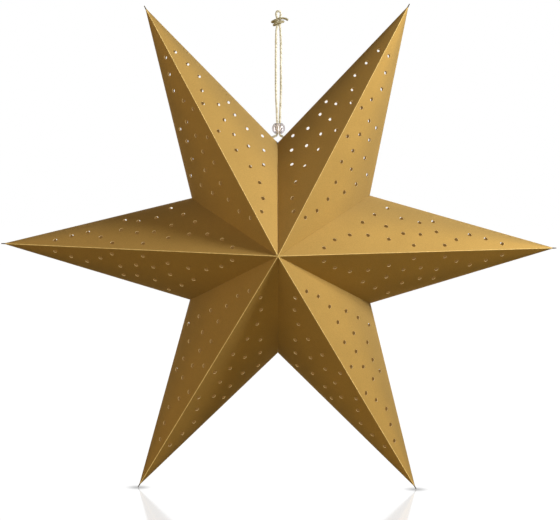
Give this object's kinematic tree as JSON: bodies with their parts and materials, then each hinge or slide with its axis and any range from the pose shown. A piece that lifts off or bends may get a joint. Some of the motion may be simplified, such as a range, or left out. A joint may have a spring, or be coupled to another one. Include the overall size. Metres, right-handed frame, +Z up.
{
  "type": "hanging paper star",
  "caption": "Folded and punched card star with hollow pointed arms, hung from a doubled cord with a clear bead.",
  "frame": {"origin": "inside top of the hanging loop, where a hook carries the star", "axes": "+Z up along the cord, +X to the right of the star's front, -Y towards the viewer of the front"},
  "size_m": [0.5999, 0.184, 0.5253],
  "materials": {
    "gold_card": "satin pearl gold print on card",
    "cord": "twisted cream and pale gold cord",
    "clear_bead": "clear polished plastic"
  },
  "bodies": {
    "root": {"point_right": "gold_card", "point_top_right": "gold_card", "point_top_left": "gold_card", "point_left": "gold_card", "point_bottom_left": "gold_card", "point_bottom_right": "gold_card", "hanging_cord": "cord", "cord_knot": "cord", "cord_bead": "clear_bead"}
  },
  "joints": []
}
